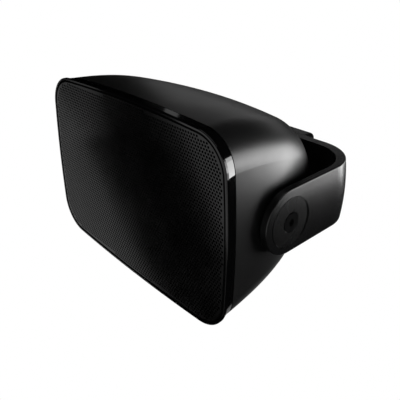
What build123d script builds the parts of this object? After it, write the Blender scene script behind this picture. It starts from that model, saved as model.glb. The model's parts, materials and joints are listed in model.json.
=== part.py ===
from build123d import *
import os
from collections import namedtuple
from math import cos, radians, sin, sqrt

# Outdoor patio speaker on a tilting wall bracket, in millimetres.
# The wall is the plane y = 0, the grille faces -Y and +Z is up. The origin is the centre of
# the wall plate's back face. Depths are measured back from the front lip of the face.

# Fits
FIT = 0.3
RUN = 0.2
THREAD_FIT = 0.05

# Face and gloss band
FACE_END_BOW = 4.8
FACE_LONG_BOW = 5.0
FACE_CORNER = 33.0
LIP_WIDTH = 2.0
LIP_DEPTH = 2.6
LIP_ROUND = 0.8
LIP_STEP = 0.7
BAND_DEPTH = 12.0
BAND_SETBACK_ENDS = 2.8
BAND_SETBACK_LONG = 1.3

# Cabinet
CABINET_DEPTH = 140.0
BACK_WIDTH = 198.4
BACK_HEIGHT = 108.6
BACK_END_BOW = 26.2
BACK_LONG_BOW = 11.9
BACK_CORNER = 45.8
BACK_ROUND = 5.0
END_TAPER_POWER = 3.82
LONG_TAPER_POWER = 2.3
LOFT_STATIONS = 7
CABINET_WALL = 4.0

# Baffle, its seal and its screws
SEAL_THICKNESS = 0.8
SEAL_RECESS = 0.8
GRILLE_SEAT = 8.0
BAFFLE_FACE = 13.0
BAFFLE_THICKNESS = 10.0
BAFFLE_RIM = 3.8
BAFFLE_SCREW_INSET = 12.5
BAFFLE_SCREW_MID_X = 16.0
BAFFLE_SCREW_MID_INSET = 7.0
BAFFLE_SCREW_SHANK = 1.9
BAFFLE_SCREW_HEAD = 3.5
BAFFLE_SCREW_HEAD_HEIGHT = 3.0
BAFFLE_SCREW_LENGTH = 22.0
BOSS_RADIUS = 5.5
BOSS_LENGTH = 22.0
BOSS_RIB_WIDTH = 5.0
BOSS_RIB_LENGTH = 16.0

# Grille
GRILLE_GAP = 1.0
GRILLE_FRONT = 0.4
GRILLE_SHEET = 1.2
GRILLE_EDGE_ROUND = 1.1
GRILLE_PLAIN_EDGE = 2.0
GRILLE_HOLE = 9.0
GRILLE_HOLE_PITCH = 13.0
CLOTH_THICKNESS = 0.8

# Tilt pivot
PIVOT_DEPTH = 65.5
PAD_RADIUS = 20.0
PAD_RISE = 1.3
WASHER_THICKNESS = 2.1
INSERT_RADIUS = 8.0
INSERT_LENGTH = 17.0
INSERT_BOSS_RADIUS = 11.5
INSERT_BOSS_END = 3.0
PIVOT_BOLT_RADIUS = 5.0
PIVOT_BOLT_LENGTH = 23.0
PIVOT_HEAD_RADIUS = 8.6
PIVOT_HEAD_HEIGHT = 3.0
PIVOT_SOCKET_FLATS = 6.0
PIVOT_SOCKET_DEPTH = 2.2
DISC_RADIUS = 22.5
DISC_RECESS = 3.4
DISC_THICKNESS = 2.4
DISC_HOLE_RADIUS = 9.25
DISC_DOME = 0.4
DISC_GROOVE = 0.4

# Yoke and wall plate
ARM_THICKNESS = 8.0
STRAP_HEIGHT = 58.5
STRAP_BOW = 2.0
WEB_THICKNESS = 10.0
REAR_GAP = 20.0
YOKE_OUTER_CORNER = 44.0
YOKE_INNER_CORNER = 37.0
YOKE_EDGE_ROUND = 0.9
PLATE_WIDTH = 151.0
PLATE_THICKNESS = 10.0
PLATE_END_ROUND = 6.0
PLATE_CORNER = 8.0
WALL_SCREW_SPAN = 110.0
WALL_SCREW_RISE = 32.0
WALL_SCREW_HOLE = 2.75
WALL_SCREW_SINK = 5.5
YOKE_BOLT_SPAN = 56.0
YOKE_BOLT_RADIUS = 3.0
YOKE_BOLT_HEAD = 5.0
YOKE_BOLT_HEAD_HEIGHT = 6.0
YOKE_BOLT_END_ROOM = 1.5

# Woofer
WOOFER_RADIUS = 74.0
WOOFER_END_MARGIN = 4.0
WOOFER_LONG_MARGIN = 6.1
WOOFER_FLANGE = 4.0
WOOFER_FLANGE_WIDTH = 11.0
WOOFER_SCREW_INSET = 3.8
BASKET_WALL = 3.0
BASKET_SHELF_RADIUS = 42.0
BASKET_SHELF_INNER = 36.0
BASKET_SHELF_DEPTH = 45.0
BASKET_BACK_DEPTH = 52.0
BASKET_BACK_THICKNESS = 3.0
BASKET_WINDOWS = 6
BASKET_WINDOW_WIDTH = 28.0
BASKET_EAR_REACH = 10.0
BASKET_EAR_WIDTH = 14.0
BASKET_EAR_THICKNESS = 5.0
TOP_PLATE_RADIUS = 36.0
TOP_PLATE_THICKNESS = 5.0
MAGNET_RADIUS = 42.0
MAGNET_INNER_RADIUS = 22.0
MAGNET_THICKNESS = 15.0
POLE_RADIUS = 12.0
POLE_VENT = 4.5
BACK_PLATE_RADIUS = 38.0
BACK_PLATE_THICKNESS = 5.0
COIL_GAP = 0.5
FORMER_WALL = 0.3
WINDING_WALL = 0.8
WINDING_HEIGHT = 10.0
CONE_LIP_WIDTH = 3.5
CONE_THICKNESS = 1.0
CONE_NECK_DEPTH = 41.0
DUST_CAP_RADIUS = 19.0
DUST_CAP_RISE = 6.0
SURROUND_WIDTH = 8.5
SURROUND_THICKNESS = 0.8
SURROUND_FOOT = 3.0
SPIDER_THICKNESS = 0.7
SPIDER_FOOT = 4.5
SPIDER_WAVE = 1.4
SPIDER_WAVES = 3

# Tweeter
DRIVER_SPACING = 4.0
TWEETER_RADIUS = 37.0
TWEETER_END_MARGIN = 8.2
TWEETER_FLANGE = 4.0
TWEETER_MOUTH = 23.0
TWEETER_THROAT = 16.2
TWEETER_SCREW_INSET = 5.5
TWEETER_BODY = 25.0
DOME_RADIUS = 12.7
DOME_RISE = 4.5
DOME_THICKNESS = 0.5
DOME_FOOT = 18.0
TWEETER_PLATE = 3.0
TWEETER_MAGNET = 8.0
TWEETER_BACK = 3.0
TWEETER_CUP_DEPTH = 26.0
TWEETER_CUP_WALL = 1.5
TWEETER_COIL_HEIGHT = 4.0

# Driver screws and seals
DRIVER_SEAL = 1.0
DRIVER_SCREWS = 4
DRIVER_SCREW_SHANK = 1.5
DRIVER_SCREW_HEAD = 2.7
DRIVER_SCREW_HEAD_HEIGHT = 1.8
DRIVER_SCREW_LENGTH = 9.0

# Terminals on the back
TERMINAL_X = -50.0
TERMINAL_WIDTH = 56.0
TERMINAL_HEIGHT = 34.0
TERMINAL_CORNER = 6.0
TERMINAL_THICKNESS = 4.0
TERMINAL_SPAN = 22.0
TERMINAL_SCREW_INSET = 5.0
POST_RADIUS = 3.4
POST_STEM_RADIUS = 2.0
POST_STEM_INSIDE = 9.0
POST_HEIGHT = 8.0
BUTTON_TRAVEL = 2.2
BUTTON_WALL = 1.4
SPRING_WIRE = 0.4
SPRING_POCKET = 4.0
SPRING_TURNS = 3

# Crossover
BOARD_X = 51.0
BOARD_WIDTH = 54.0
BOARD_HEIGHT = 76.0
BOARD_THICKNESS = 1.6
BOARD_STANDOFF = 9.0
BOARD_SCREW_INSET = 4.5
STANDOFF_RADIUS = 3.2
BOARD_PART_EDGE = 1.0
BOARD_PART_GAP = 0.6
INDUCTOR_RADIUS = 13.0
INDUCTOR_INNER_RADIUS = 6.0
INDUCTOR_HEIGHT = 13.0
CAPACITOR_RADIUS = 7.0
CAPACITOR_LENGTH = 26.0
RESISTOR_SIZE = 9.0
RESISTOR_LENGTH = 28.0
SMALL_SCREW_SHANK = 1.4
SMALL_SCREW_HEAD = 2.6
SMALL_SCREW_HEAD_HEIGHT = 1.8
SMALL_SCREW_LENGTH = 8.0

# Inner leads
LEAD_RADIUS = 1.2
LEAD_BEND = 10.0
LEAD_PITCH = 6.0
LEAD_RUN = 14.0
LEAD_STEP = 5.0
LEAD_BOARD_EDGE = 3.0
LEAD_BOARD_DROP = 20.0
LEAD_LEAVE = 22.0
LEAD_ARRIVE = 26.0

# Sizes and places that follow from those above. The face is sized round the two drivers.
WOOFER_THROAT = WOOFER_RADIUS - WOOFER_FLANGE_WIDTH
WOOFER_SCREW_CIRCLE = WOOFER_RADIUS - WOOFER_SCREW_INSET
CONE_EDGE_RADIUS = WOOFER_THROAT - SURROUND_WIDTH
TWEETER_SCREW_CIRCLE = TWEETER_RADIUS - TWEETER_SCREW_INSET
POCKET_INSET = CABINET_WALL + FIT + BAFFLE_RIM
DRIVER_ROW = 2 * WOOFER_RADIUS + DRIVER_SPACING + 2 * TWEETER_RADIUS
POCKET_WIDTH = WOOFER_END_MARGIN + DRIVER_ROW + TWEETER_END_MARGIN
POCKET_HEIGHT = 2 * (WOOFER_RADIUS + WOOFER_LONG_MARGIN)
FACE_WIDTH = POCKET_WIDTH + 2 * (POCKET_INSET + BAND_SETBACK_ENDS)
FACE_HEIGHT = POCKET_HEIGHT + 2 * (POCKET_INSET + BAND_SETBACK_LONG)
Section = namedtuple("Section", "half_width half_height end_bow long_bow corner")
LIP = Section(FACE_WIDTH / 2, FACE_HEIGHT / 2, FACE_END_BOW, FACE_LONG_BOW, FACE_CORNER)
JOINT = Section(
    LIP.half_width - BAND_SETBACK_ENDS,
    LIP.half_height - BAND_SETBACK_LONG,
    FACE_END_BOW,
    FACE_LONG_BOW,
    FACE_CORNER - BAND_SETBACK_LONG,
)
BACK = Section(BACK_WIDTH / 2, BACK_HEIGHT / 2, BACK_END_BOW, BACK_LONG_BOW, BACK_CORNER)
WEB_FRONT_Y = -(PLATE_THICKNESS + WEB_THICKNESS)
WEB_BACK_Y = STRAP_BOW - PLATE_THICKNESS
LIP_Y = WEB_FRONT_Y - REAR_GAP - CABINET_DEPTH
PIVOT_Y = LIP_Y + PIVOT_DEPTH
BAFFLE_BACK = BAFFLE_FACE + BAFFLE_THICKNESS
INNER_BACK = CABINET_DEPTH - CABINET_WALL


def mix(start, end, share):
    return start + (end - start) * share


def inset(section, distance):
    """The same section drawn in by a distance on all sides."""
    return section._replace(
        half_width=section.half_width - distance,
        half_height=section.half_height - distance,
        corner=section.corner - distance,
    )


def cabinet_section(depth):
    """The cabinet's outline at a depth behind the lip; it draws in faster towards the back."""
    share = (depth - BAND_DEPTH) / (CABINET_DEPTH - BAND_DEPTH)
    return Section(
        mix(JOINT.half_width, BACK.half_width, share**END_TAPER_POWER),
        mix(JOINT.half_height, BACK.half_height, share**LONG_TAPER_POWER),
        mix(JOINT.end_bow, BACK.end_bow, share),
        mix(JOINT.long_bow, BACK.long_bow, share),
        mix(JOINT.corner, BACK.corner, share),
    )


def outline(section, depth):
    """Face bounded by four bowed sides and four corner arcs that are tangent to them."""
    wide, high, end_bow, long_bow, corner = section
    y = LIP_Y + depth
    end_radius = (high**2 + end_bow**2) / (2 * end_bow)
    long_radius = (wide**2 + long_bow**2) / (2 * long_bow)
    end_centre = Vector(wide - end_radius, y, 0)
    long_centre = Vector(0, y, high - long_radius)
    # The corner's centre is this far from the centres of the two sides that it joins
    from_end = end_radius - corner
    from_long = long_radius - corner
    between = long_centre - end_centre
    along = (from_end**2 - from_long**2 + between.length**2) / (2 * between.length)
    across = sqrt(from_end**2 - along**2)
    unit = between.normalized()
    corner_centre = end_centre + unit * along + Vector(-unit.Z, 0, unit.X) * across
    end_side = (corner_centre - end_centre).normalized()
    long_side = (corner_centre - long_centre).normalized()
    end_point = end_centre + end_side * end_radius
    long_point = long_centre + long_side * long_radius
    middle = corner_centre + (end_side + long_side).normalized() * corner

    def at(point, x_sign, z_sign):
        return Vector(point.X * x_sign, y, point.Z * z_sign)

    end_middle = Vector(wide, y, 0)
    long_middle = Vector(0, y, high)
    arcs = [
        ThreePointArc(at(end_point, 1, -1), end_middle, at(end_point, 1, 1)),
        ThreePointArc(at(end_point, 1, 1), middle, at(long_point, 1, 1)),
        ThreePointArc(at(long_point, 1, 1), long_middle, at(long_point, -1, 1)),
        ThreePointArc(at(long_point, -1, 1), at(middle, -1, 1), at(end_point, -1, 1)),
        ThreePointArc(at(end_point, -1, 1), at(end_middle, -1, 1), at(end_point, -1, -1)),
        ThreePointArc(at(end_point, -1, -1), at(middle, -1, -1), at(long_point, -1, -1)),
        ThreePointArc(at(long_point, -1, -1), at(long_middle, 1, -1), at(long_point, 1, -1)),
        ThreePointArc(at(long_point, 1, -1), at(middle, 1, -1), at(end_point, 1, -1)),
    ]
    return make_face(arcs).face()


def slab(section, front, back):
    """Straight-sided solid of one section between two depths."""
    return extrude(outline(section, front), amount=back - front, dir=(0, 1, 0))


def cabinet_form(wall):
    """Solid form of the cabinet, drawn in by a wall on all sides but the front."""
    length = CABINET_DEPTH - wall - BAND_DEPTH
    depths = [BAND_DEPTH + length * step / (LOFT_STATIONS - 1) for step in range(LOFT_STATIONS)]
    return loft([outline(inset(cabinet_section(depth), wall), depth) for depth in depths])


def rod_x(radius, start, end, y, z=0.0):
    return Pos((start + end) / 2, y, z) * Rot(0, 90, 0) * Cylinder(radius, abs(end - start))


def along_y(solid, x=0.0, z=0.0):
    """Place a solid built with its axis on Z and its depths as heights."""
    return Pos(x, LIP_Y, z) * Rot(-90, 0, 0) * solid


def ring(inner, outer, front, back):
    solid = Pos(0, 0, (front + back) / 2) * Cylinder(outer, back - front)
    if inner > 0:
        solid -= Pos(0, 0, (front + back) / 2) * Cylinder(inner, back - front)
    return solid


def turned(*edges):
    """Solid of revolution about Z of a profile in radius and height."""
    return revolve(make_face(edges).face(), Axis.Z)


def polyline(*points, close=False):
    return Polyline(*[(radius, 0, height) for radius, height in points], close=close)


def arc(start, through, end):
    return ThreePointArc(*[(radius, 0, height) for radius, height in (start, through, end)])


def cap_arc(radius, seat, rise):
    """Profile of a spherical cap, from its rim at the seat to its crown in front of it."""
    sphere = (radius**2 + rise**2) / (2 * rise)
    half = radius / 2
    drop = sphere - sqrt(sphere**2 - half**2)
    return arc((radius, seat), (half, seat - rise + drop), (0, seat - rise))


def screw(head_radius, head_height, shank_radius, seat, length):
    """Screw with its head in front of the seat depth and its shank behind it."""
    return turned(
        polyline(
            (0, seat - head_height),
            (head_radius, seat - head_height),
            (head_radius, seat),
            (shank_radius, seat),
            (shank_radius, seat + length),
            (0, seat + length),
            close=True,
        )
    )


def circle_places(count, radius):
    turn = 360 / count
    angles = [radians(turn * (index + 0.5)) for index in range(count)]
    return [(radius * cos(angle), radius * sin(angle)) for angle in angles]


def rounded_plate(width, height, corner, front, back):
    face = RectangleRounded(width, height, corner)
    return Pos(0, 0, front) * extrude(face, amount=back - front)


# Baffle screws stand in the corners of the baffle and at the middle of its long sides
BAFFLE_POCKET = inset(JOINT, POCKET_INSET)
CORNER_SCREW_X = BAFFLE_POCKET.half_width - BAFFLE_SCREW_INSET
CORNER_SCREW_Z = BAFFLE_POCKET.half_height - BAFFLE_SCREW_INSET
MID_SCREW_Z = BAFFLE_POCKET.half_height - BAFFLE_SCREW_MID_INSET
BAFFLE_SCREWS = [
    (x_sign * CORNER_SCREW_X, z_sign * CORNER_SCREW_Z) for x_sign in (-1, 1) for z_sign in (-1, 1)
] + [(BAFFLE_SCREW_MID_X, z_sign * MID_SCREW_Z) for z_sign in (-1, 1)]

# Drivers stand side by side, the woofer at the left of the face
WOOFER_X = WOOFER_RADIUS + WOOFER_END_MARGIN - BAFFLE_POCKET.half_width
TWEETER_X = WOOFER_X + WOOFER_RADIUS + DRIVER_SPACING + TWEETER_RADIUS

# An ear on the woofer's basket takes its leads
BASKET_EAR_RADIUS = BASKET_SHELF_RADIUS + BASKET_WALL + BASKET_EAR_REACH
WOOFER_LEAD_X = WOOFER_X + BASKET_EAR_RADIUS - BASKET_EAR_REACH / 2

# Widths out from the middle of the cabinet at the pivot
PAD_X = cabinet_section(PIVOT_DEPTH).half_width + PAD_RISE
WASHER_X = PAD_X + WASHER_THICKNESS
ARM_INNER_X = WASHER_X + RUN
ARM_OUTER_X = ARM_INNER_X + ARM_THICKNESS
DISC_SEAT_X = ARM_OUTER_X - DISC_RECESS
HEAD_SEAT_X = DISC_SEAT_X + RUN

# Crossover board and terminal places
BOARD_BACK = INNER_BACK - BOARD_STANDOFF
BOARD_FACE = BOARD_BACK - BOARD_THICKNESS
BOARD_SCREWS = [
    (BOARD_X + x_sign * (BOARD_WIDTH / 2 - BOARD_SCREW_INSET),
     z_sign * (BOARD_HEIGHT / 2 - BOARD_SCREW_INSET))
    for x_sign in (-1, 1) for z_sign in (-1, 1)
]
RESISTOR_Z = BOARD_HEIGHT / 2 - BOARD_PART_EDGE - RESISTOR_SIZE / 2
PARTS_TOP = RESISTOR_Z - RESISTOR_SIZE / 2 - BOARD_PART_GAP
INDUCTOR_X = BOARD_X - BOARD_WIDTH / 2 + INDUCTOR_RADIUS + BOARD_SCREW_INSET / 2
CAPACITOR_X = BOARD_X + BOARD_WIDTH / 2 - CAPACITOR_RADIUS - BOARD_SCREW_INSET / 2
INDUCTOR_GAP_Z = PARTS_TOP - 2 * INDUCTOR_RADIUS - BOARD_PART_GAP / 2
CAPACITOR_GAP_Z = PARTS_TOP - CAPACITOR_LENGTH - BOARD_PART_GAP / 2
TERMINAL_SCREWS = [
    (TERMINAL_X + x_sign * (TERMINAL_WIDTH / 2 - TERMINAL_SCREW_INSET),
     z_sign * (TERMINAL_HEIGHT / 2 - TERMINAL_SCREW_INSET))
    for x_sign in (-1, 1) for z_sign in (-1, 1)
]
TERMINAL_SEAT = CABINET_DEPTH + SEAL_THICKNESS
TERMINAL_FACE = TERMINAL_SEAT + TERMINAL_THICKNESS
POST_STEM_END = INNER_BACK - POST_STEM_INSIDE
POST_PLACES = {"red": TERMINAL_X - TERMINAL_SPAN / 2, "black": TERMINAL_X + TERMINAL_SPAN / 2}


def screw_bosses():
    """Posts for the baffle screws, each with a rib out to the nearest wall."""
    bosses = []
    for x, z in BAFFLE_SCREWS:
        reach = BOSS_RIB_LENGTH / 2
        lean = (0 if x == BAFFLE_SCREW_MID_X else 1)
        out = Vector(lean * x / abs(x), 0, z / abs(z)).normalized()
        angle = Vector(1, 0, 0).get_signed_angle(out, Vector(0, -1, 0))
        centre = Pos(x + out.X * reach, LIP_Y + BAFFLE_BACK + BOSS_LENGTH / 2, z + out.Z * reach)
        bosses.append(along_y(ring(0, BOSS_RADIUS, BAFFLE_BACK, BAFFLE_BACK + BOSS_LENGTH), x, z))
        bosses.append(centre * Rot(0, -angle, 0) * Box(BOSS_RIB_LENGTH, BOSS_LENGTH, BOSS_RIB_WIDTH))
    return bosses


def make_cabinet():
    outer = cabinet_form(0)
    back_edges = outer.faces().sort_by(Axis.Y)[-1].edges()
    outer = fillet(back_edges, BACK_ROUND)
    shell = outer - cabinet_form(CABINET_WALL)
    for boss in screw_bosses():
        shell += boss & outer
    for x, z in BOARD_SCREWS:
        shell += along_y(ring(0, STANDOFF_RADIUS, BOARD_BACK, INNER_BACK + CABINET_WALL / 2), x, z)
    insert_end = PAD_X - INSERT_LENGTH
    for side in (-1, 1):
        pad_root = PAD_X - PAD_RISE - CABINET_WALL
        shell += rod_x(PAD_RADIUS, side * pad_root, side * PAD_X, PIVOT_Y)
        shell += rod_x(INSERT_BOSS_RADIUS, side * (insert_end - INSERT_BOSS_END), side * PAD_X, PIVOT_Y)
        shell -= rod_x(INSERT_RADIUS, side * insert_end, side * PAD_X, PIVOT_Y)
    pilot = BAFFLE_SCREW_SHANK + THREAD_FIT
    for x, z in BAFFLE_SCREWS:
        shell -= along_y(ring(0, pilot, BAFFLE_BACK, BAFFLE_BACK + BOSS_LENGTH), x, z)
    small_pilot = SMALL_SCREW_SHANK + THREAD_FIT
    for x, z in BOARD_SCREWS:
        shell -= along_y(ring(0, small_pilot, BOARD_BACK, INNER_BACK), x, z)
    for x, z in TERMINAL_SCREWS:
        shell -= along_y(ring(0, small_pilot, INNER_BACK, CABINET_DEPTH), x, z)
    for x in POST_PLACES.values():
        shell -= along_y(ring(0, POST_RADIUS, INNER_BACK, CABINET_DEPTH), x)
    return shell


def make_front_baffle():
    band_back = BAND_DEPTH - SEAL_THICKNESS
    lip = slab(LIP, 0, LIP_DEPTH)
    lip = fillet(lip.faces().sort_by(Axis.Y)[0].edges(), LIP_ROUND)
    band = loft([outline(inset(LIP, LIP_STEP), LIP_DEPTH), outline(JOINT, band_back)], ruled=True)
    mouth = CABINET_WALL + FIT
    spigot = loft(
        [
            outline(inset(JOINT, mouth), GRILLE_SEAT),
            outline(inset(JOINT, mouth), BAND_DEPTH),
            outline(inset(cabinet_section(BAFFLE_BACK), mouth), BAFFLE_BACK),
        ],
        ruled=True,
    )
    baffle = lip + band + spigot
    baffle -= slab(inset(LIP, LIP_WIDTH), 0, GRILLE_SEAT)
    baffle -= slab(BAFFLE_POCKET, GRILLE_SEAT, BAFFLE_FACE)
    woofer_seat = BAFFLE_FACE + WOOFER_FLANGE + DRIVER_SEAL
    tweeter_seat = BAFFLE_FACE + TWEETER_FLANGE + DRIVER_SEAL
    drivers = [
        (WOOFER_X, WOOFER_RADIUS, woofer_seat, WOOFER_THROAT + BASKET_WALL, WOOFER_SCREW_CIRCLE),
        (TWEETER_X, TWEETER_RADIUS, tweeter_seat, TWEETER_BODY, TWEETER_SCREW_CIRCLE),
    ]
    for x, radius, seat, body, screw_circle in drivers:
        baffle -= along_y(ring(0, radius + FIT, BAFFLE_FACE, seat), x)
        baffle -= along_y(ring(0, body + FIT, seat, BAFFLE_BACK), x)
        for screw_x, screw_z in circle_places(DRIVER_SCREWS, screw_circle):
            hole = ring(0, DRIVER_SCREW_SHANK + THREAD_FIT, seat, BAFFLE_BACK)
            baffle -= along_y(hole, x + screw_x, screw_z)
    for x, z in BAFFLE_SCREWS:
        head_seat = BAFFLE_FACE + BAFFLE_SCREW_HEAD_HEIGHT
        baffle -= along_y(ring(0, BAFFLE_SCREW_HEAD + FIT, BAFFLE_FACE, head_seat), x, z)
        baffle -= along_y(ring(0, BAFFLE_SCREW_SHANK + FIT, head_seat, BAFFLE_BACK), x, z)
    return baffle


def make_baffle_seal():
    front = BAND_DEPTH - SEAL_THICKNESS
    return slab(inset(JOINT, SEAL_RECESS), front, BAND_DEPTH) - slab(
        inset(JOINT, CABINET_WALL), front, BAND_DEPTH
    )


def make_baffle_screws():
    seat = BAFFLE_FACE + BAFFLE_SCREW_HEAD_HEIGHT
    model = screw(
        BAFFLE_SCREW_HEAD, BAFFLE_SCREW_HEAD_HEIGHT, BAFFLE_SCREW_SHANK, seat, BAFFLE_SCREW_LENGTH
    )
    return [along_y(model, x, z) for x, z in BAFFLE_SCREWS]


def grille_holes():
    """Places of the round holes, in staggered rows, that lie whole inside the plain edge."""
    margin = LIP_WIDTH + GRILLE_GAP + GRILLE_PLAIN_EDGE + GRILLE_HOLE / 2
    room = outline(inset(LIP, margin), 0)
    row_step = GRILLE_HOLE_PITCH * sqrt(3) / 2
    columns = int(LIP.half_width / GRILLE_HOLE_PITCH)
    rows = int(LIP.half_height / row_step)
    places = [
        ((column + row % 2 / 2) * GRILLE_HOLE_PITCH, row * row_step)
        for row in range(-rows, rows + 1)
        for column in range(-columns - 1, columns + 1)
    ]
    return [(x, z) for x, z in places if room.is_inside((x, LIP_Y, z))]


def make_grille():
    rim = inset(LIP, LIP_WIDTH + GRILLE_GAP)
    sheet = slab(rim, GRILLE_FRONT, GRILLE_SEAT)
    sheet = fillet(sheet.faces().sort_by(Axis.Y)[0].edges(), GRILLE_EDGE_ROUND)
    sheet -= slab(inset(rim, GRILLE_SHEET), GRILLE_FRONT + GRILLE_SHEET, GRILLE_SEAT)
    middle_y = LIP_Y + GRILLE_FRONT + GRILLE_SHEET / 2
    hole = Cylinder(GRILLE_HOLE / 2, GRILLE_SHEET, rotation=(90, 0, 0))
    return sheet - [Pos(x, middle_y, z) * hole for x, z in grille_holes()]


def make_grille_cloth():
    front = GRILLE_FRONT + GRILLE_SHEET
    rim = inset(LIP, LIP_WIDTH + GRILLE_GAP + GRILLE_SHEET + FIT)
    return slab(rim, front, front + CLOTH_THICKNESS)


def make_woofer_basket():
    front = BAFFLE_FACE
    flange_back = front + WOOFER_FLANGE
    back = BASKET_BACK_DEPTH + BASKET_BACK_THICKNESS
    basket = turned(
        polyline(
            (WOOFER_THROAT, front),
            (WOOFER_RADIUS, front),
            (WOOFER_RADIUS, flange_back),
            (WOOFER_THROAT + BASKET_WALL, flange_back),
            (BASKET_SHELF_RADIUS + BASKET_WALL, BASKET_SHELF_DEPTH),
            (BASKET_SHELF_RADIUS, back),
            (MAGNET_INNER_RADIUS, back),
            (MAGNET_INNER_RADIUS, BASKET_BACK_DEPTH),
            (BASKET_SHELF_INNER, BASKET_BACK_DEPTH),
            (BASKET_SHELF_INNER, BASKET_SHELF_DEPTH),
            (BASKET_SHELF_RADIUS, BASKET_SHELF_DEPTH),
            (WOOFER_THROAT, flange_back),
            close=True,
        )
    )
    window_front = BAFFLE_BACK
    window_back = BASKET_SHELF_DEPTH - BASKET_WALL
    window = Pos(WOOFER_THROAT, 0, (window_front + window_back) / 2) * Box(
        WOOFER_RADIUS, BASKET_WINDOW_WIDTH, window_back - window_front
    )
    for index in range(BASKET_WINDOWS):
        basket -= Rot(0, 0, 360 / BASKET_WINDOWS * index) * window
    ear_x = (BASKET_SHELF_INNER + BASKET_EAR_RADIUS) / 2
    ear_depth = BASKET_BACK_DEPTH - BASKET_EAR_THICKNESS / 2
    basket += Pos(ear_x, 0, ear_depth) * Box(
        BASKET_EAR_RADIUS - BASKET_SHELF_INNER, BASKET_EAR_WIDTH, BASKET_EAR_THICKNESS
    )
    for x, z in circle_places(DRIVER_SCREWS, WOOFER_SCREW_CIRCLE):
        basket -= Pos(x, z, 0) * ring(0, DRIVER_SCREW_SHANK + FIT, front, flange_back)
    return along_y(basket, WOOFER_X)


def driver_seal(x, radius, flange, body, screw_circle):
    front = BAFFLE_FACE + flange
    seal = ring(body + FIT, radius, front, front + DRIVER_SEAL)
    for screw_x, screw_z in circle_places(DRIVER_SCREWS, screw_circle):
        seal -= Pos(screw_x, screw_z, 0) * ring(
            0, DRIVER_SCREW_SHANK + FIT, front, front + DRIVER_SEAL
        )
    return along_y(seal, x)


def driver_screws(x, screw_circle):
    model = screw(
        DRIVER_SCREW_HEAD,
        DRIVER_SCREW_HEAD_HEIGHT,
        DRIVER_SCREW_SHANK,
        BAFFLE_FACE,
        DRIVER_SCREW_LENGTH,
    )
    places = circle_places(DRIVER_SCREWS, screw_circle)
    return [along_y(Pos(screw_x, screw_z, 0) * model, x) for screw_x, screw_z in places]


# Woofer motor, from the basket's back plate backwards
TOP_PLATE_FRONT = BASKET_BACK_DEPTH + BASKET_BACK_THICKNESS
TOP_PLATE_BACK = TOP_PLATE_FRONT + TOP_PLATE_THICKNESS
MAGNET_BACK = TOP_PLATE_BACK + MAGNET_THICKNESS
FORMER_INNER = POLE_RADIUS + COIL_GAP
FORMER_OUTER = FORMER_INNER + FORMER_WALL
WINDING_OUTER = FORMER_OUTER + WINDING_WALL
WINDING_FRONT = (TOP_PLATE_FRONT + TOP_PLATE_BACK - WINDING_HEIGHT) / 2
WINDING_BACK = WINDING_FRONT + WINDING_HEIGHT


def make_woofer_top_plate():
    plate = ring(WINDING_OUTER + COIL_GAP, TOP_PLATE_RADIUS, TOP_PLATE_FRONT, TOP_PLATE_BACK)
    return along_y(plate, WOOFER_X)


def make_woofer_magnet():
    return along_y(ring(MAGNET_INNER_RADIUS, MAGNET_RADIUS, TOP_PLATE_BACK, MAGNET_BACK), WOOFER_X)


def make_woofer_pole():
    back = MAGNET_BACK + BACK_PLATE_THICKNESS
    pole = turned(
        polyline(
            (POLE_VENT, TOP_PLATE_FRONT),
            (POLE_RADIUS, TOP_PLATE_FRONT),
            (POLE_RADIUS, MAGNET_BACK),
            (BACK_PLATE_RADIUS, MAGNET_BACK),
            (BACK_PLATE_RADIUS, back),
            (POLE_VENT, back),
            close=True,
        )
    )
    return along_y(pole, WOOFER_X)


def make_woofer_cone():
    lip_inner = CONE_EDGE_RADIUS - CONE_LIP_WIDTH
    cone = turned(
        polyline(
            (lip_inner, BAFFLE_FACE),
            (CONE_EDGE_RADIUS, BAFFLE_FACE),
            (CONE_EDGE_RADIUS, BAFFLE_FACE + CONE_THICKNESS),
            (lip_inner, BAFFLE_FACE + CONE_THICKNESS),
            (FORMER_OUTER, CONE_NECK_DEPTH + CONE_THICKNESS),
            (FORMER_OUTER, CONE_NECK_DEPTH),
            close=True,
        )
    )
    return along_y(cone, WOOFER_X)


def cone_depth(radius):
    """Depth of the cone's front surface at a radius."""
    lip_inner = CONE_EDGE_RADIUS - CONE_LIP_WIDTH
    share = (radius - FORMER_OUTER) / (lip_inner - FORMER_OUTER)
    return mix(CONE_NECK_DEPTH, BAFFLE_FACE, share)


def make_woofer_dust_cap():
    seat = cone_depth(DUST_CAP_RADIUS)
    crown = seat - DUST_CAP_RISE
    inner = DUST_CAP_RADIUS - CONE_THICKNESS
    cap = turned(
        cap_arc(DUST_CAP_RADIUS, seat, DUST_CAP_RISE),
        polyline((0, crown), (0, crown + CONE_THICKNESS)),
        cap_arc(inner, seat, DUST_CAP_RISE - CONE_THICKNESS),
        polyline((inner, seat), (DUST_CAP_RADIUS, seat)),
    )
    return along_y(cap, WOOFER_X)


def make_voice_coil_former():
    return along_y(ring(FORMER_INNER, FORMER_OUTER, CONE_NECK_DEPTH, WINDING_BACK), WOOFER_X)


def make_voice_coil_winding():
    return along_y(ring(FORMER_OUTER, WINDING_OUTER, WINDING_FRONT, WINDING_BACK), WOOFER_X)


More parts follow.
